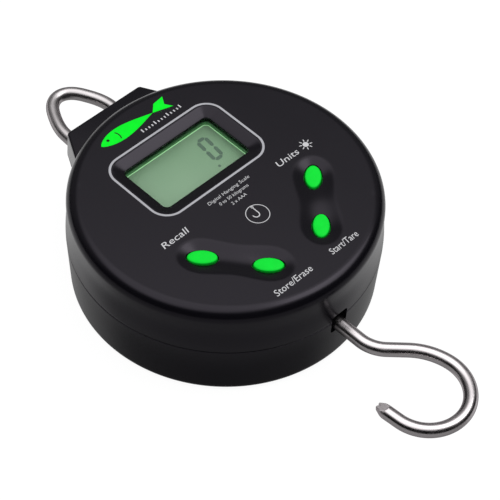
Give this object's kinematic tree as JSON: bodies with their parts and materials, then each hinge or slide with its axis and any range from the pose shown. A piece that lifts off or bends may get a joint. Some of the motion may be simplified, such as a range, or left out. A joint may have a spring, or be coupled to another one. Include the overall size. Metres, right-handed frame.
{
  "type": "digital fish scale",
  "caption": "Round hand-held hanging scale with a digital display, push buttons, a weighing hook and a wire suspension loop.",
  "frame": {"origin": "centre of the back face, on the case's axis", "axes": "+Z out of the display face, +Y towards the suspension loop, -Y towards the weighing hook, +X to the right of the display as it is read"},
  "size_m": [0.1012, 0.1862, 0.038],
  "materials": {
    "case_plastic": "fine satin texture",
    "button_green": "satin elastomer-like plastic",
    "stainless_wire": "bright drawn stainless wire",
    "plated_steel": "zinc-plated",
    "load_cell_aluminium": "milled",
    "window_acrylic": "clear acrylic window",
    "lcd_glass": "sage-green reflective display",
    "backlight_acrylic": "diffusing light guide",
    "inner_black_plastic": "moulded",
    "elastomer": "matte",
    "board_laminate": "solder-masked laminate",
    "chip_epoxy": "moulded epoxy",
    "battery_sleeve": "shrink sleeve",
    "nickel_contact": "nickel-plated spring steel",
    "gauge_foil": "polyimide-backed foil",
    "red_insulation": "wire insulation",
    "black_insulation": "wire insulation",
    "cable_jacket": "cable jacket"
  },
  "bodies": {
    "case": {"backlight_panel": "backlight_acrylic", "battery_1": "battery_sleeve", "battery_2": "battery_sleeve", "battery_bridge_plate": "nickel_contact", "battery_lead_black": "black_insulation", "battery_lead_red": "red_insulation", "battery_plate_negative": "nickel_contact", "battery_plate_positive": "nickel_contact", "battery_spring_1": "nickel_contact", "battery_spring_2": "nickel_contact", "board_screw_1": "plated_steel", "board_screw_2": "plated_steel", "board_screw_3": "plated_steel", "case_screw_1": "plated_steel", "case_screw_2": "plated_steel", "case_screw_3": "plated_steel", "case_screw_4": "plated_steel", "case_screw_5": "plated_steel", "case_screw_6": "plated_steel", "clevis_bolt": "plated_steel", "contact_strip_lower": "elastomer", "contact_strip_upper": "elastomer", "controller_chip": "chip_epoxy", "converter_chip": "chip_epoxy", "front_case": "case_plastic", "hook_clevis": "plated_steel", "hook_pin": "stainless_wire", "hook_pin_clip": "stainless_wire", "lcd_frame": "inner_black_plastic", "lcd_panel": "lcd_glass", "load_cell": "load_cell_aluminium", "load_cell_cable": "cable_jacket", "loop_pin_left": "plated_steel", "loop_pin_right": "plated_steel", "main_board": "board_laminate", "push_switch_1": "inner_black_plastic", "push_switch_2": "inner_black_plastic", "push_switch_3": "inner_black_plastic", "push_switch_4": "inner_black_plastic", "rear_case": "case_plastic", "strain_gauge_back": "gauge_foil", "strain_gauge_front": "gauge_foil", "suspension_loop": "stainless_wire", "upper_yoke": "plated_steel", "window_lens": "window_acrylic", "yoke_bolt": "plated_steel", "yoke_screw_left": "plated_steel", "yoke_screw_right": "plated_steel"},
    "recall_button": {"recall_button": "button_green", "switch_plunger_1": "elastomer"},
    "store_button": {"store_button": "button_green", "switch_plunger_2": "elastomer"},
    "power_button": {"power_button": "button_green", "switch_plunger_3": "elastomer"},
    "unit_button": {"unit_button": "button_green", "switch_plunger_4": "elastomer"},
    "weigh_hook": {"weigh_hook": "stainless_wire"},
    "battery_cover": {"battery_cover": "case_plastic", "battery_cover_screw_1": "plated_steel", "battery_cover_screw_2": "plated_steel"}
  },
  "joints": [
    {"name": "recall_press", "type": "slide", "parent": "case", "child": "recall_button", "axis": [0, 0, -1], "range_m": [0, 0.0008], "stiffness_N_per_m": 1500, "springref_m": -0.0004},
    {"name": "store_press", "type": "slide", "parent": "case", "child": "store_button", "axis": [0, 0, -1], "range_m": [0, 0.0008], "stiffness_N_per_m": 1500, "springref_m": -0.0004},
    {"name": "power_press", "type": "slide", "parent": "case", "child": "power_button", "axis": [0, 0, -1], "range_m": [0, 0.0008], "stiffness_N_per_m": 1500, "springref_m": -0.0004},
    {"name": "unit_press", "type": "slide", "parent": "case", "child": "unit_button", "axis": [0, 0, -1], "range_m": [0, 0.0008], "stiffness_N_per_m": 1500, "springref_m": -0.0004},
    {"name": "hook_swing", "type": "hinge", "parent": "case", "child": "weigh_hook", "pos_m": [0, -0.036, 0.0175], "axis": [0, 0, 1], "range_deg": [-3, 3]},
    {"name": "battery_cover_lift", "type": "slide", "parent": "case", "child": "battery_cover", "axis": [0, 0, -1], "range_m": [0, 0.012]}
  ]
}
